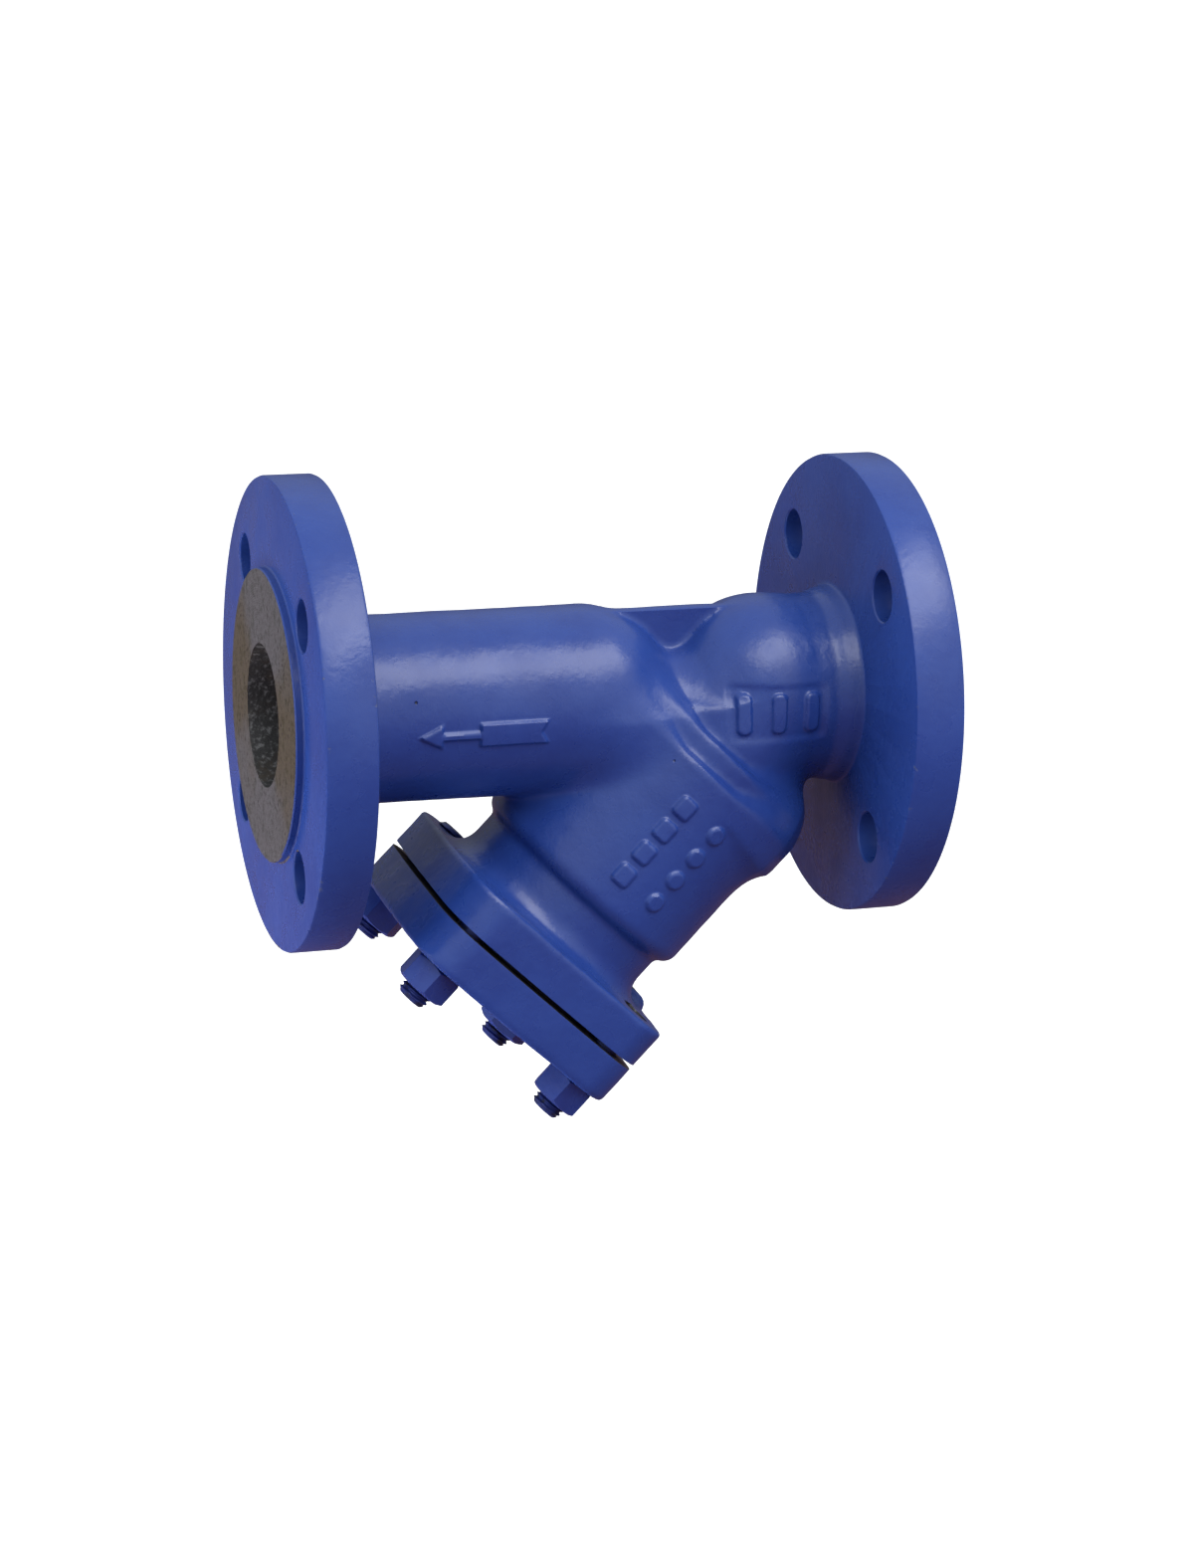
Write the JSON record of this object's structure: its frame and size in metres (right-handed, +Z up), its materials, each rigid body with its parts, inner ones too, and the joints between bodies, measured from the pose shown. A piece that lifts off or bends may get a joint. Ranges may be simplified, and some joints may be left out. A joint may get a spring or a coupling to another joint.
{
  "type": "y strainer",
  "caption": "Flanged Y strainer: a straight pipe run with a slanted screen branch closed by a bolted square cover; the screen draws out for cleaning.",
  "frame": {"origin": "centre of the outlet raised face, on the pipe axis", "axes": "+X along the pipe towards the inlet face, against the flow; +Z up, away from the screen branch; branch in the plane Y = 0"},
  "size_m": [0.23, 0.165, 0.2277],
  "materials": {
    "cast_body": "glossy blue enamel over cast steel, machined bare raised faces",
    "cast_cover": "glossy blue enamel over cast steel",
    "painted_nut": "blue enamel over steel",
    "stud_steel": "dark steel thread with thin blue overspray",
    "gasket_graphite": "matt black graphite",
    "stainless_screen": "stainless sheet, rolled and spot welded",
    "stainless_mesh": "fine woven stainless wire"
  },
  "bodies": {
    "casing": {"body": "cast_body", "stud_1": "stud_steel", "stud_2": "stud_steel", "stud_3": "stud_steel", "stud_4": "stud_steel"},
    "cover": {"cover": "cast_cover"},
    "gasket": {"cover_gasket": "gasket_graphite"},
    "screen": {"screen_perforated_tube": "stainless_screen", "screen_mesh_lining": "stainless_mesh", "screen_seat_ring": "stainless_screen", "screen_cover_ring": "stainless_screen"},
    "nut_1": {"nut_1": "painted_nut"},
    "nut_2": {"nut_2": "painted_nut"},
    "nut_3": {"nut_3": "painted_nut"},
    "nut_4": {"nut_4": "painted_nut"}
  },
  "joints": [
    {"name": "cover_draw", "type": "slide", "parent": "casing", "child": "cover", "axis": [-0.682, 0, -0.7314], "range_m": [0, 0.2]},
    {"name": "gasket_draw", "type": "slide", "parent": "casing", "child": "gasket", "axis": [-0.682, 0, -0.7314], "range_m": [0, 0.17]},
    {"name": "screen_draw", "type": "slide", "parent": "casing", "child": "screen", "axis": [-0.682, 0, -0.7314], "range_m": [0, 0.12]},
    {"name": "nut_1_draw", "type": "slide", "parent": "casing", "child": "nut_1", "axis": [-0.682, 0, -0.7314], "range_m": [0, 0.24]},
    {"name": "nut_2_draw", "type": "slide", "parent": "casing", "child": "nut_2", "axis": [-0.682, 0, -0.7314], "range_m": [0, 0.24]},
    {"name": "nut_3_draw", "type": "slide", "parent": "casing", "child": "nut_3", "axis": [-0.682, 0, -0.7314], "range_m": [0, 0.24]},
    {"name": "nut_4_draw", "type": "slide", "parent": "casing", "child": "nut_4", "axis": [-0.682, 0, -0.7314], "range_m": [0, 0.24]}
  ],
  "couplings": [
    {"joint": "gasket_draw", "follows": "cover_draw", "ratio": 0.85},
    {"joint": "screen_draw", "follows": "cover_draw", "ratio": 0.6},
    {"joint": "nut_1_draw", "follows": "cover_draw", "ratio": 1.2},
    {"joint": "nut_2_draw", "follows": "cover_draw", "ratio": 1.2},
    {"joint": "nut_3_draw", "follows": "cover_draw", "ratio": 1.2},
    {"joint": "nut_4_draw", "follows": "cover_draw", "ratio": 1.2}
  ]
}
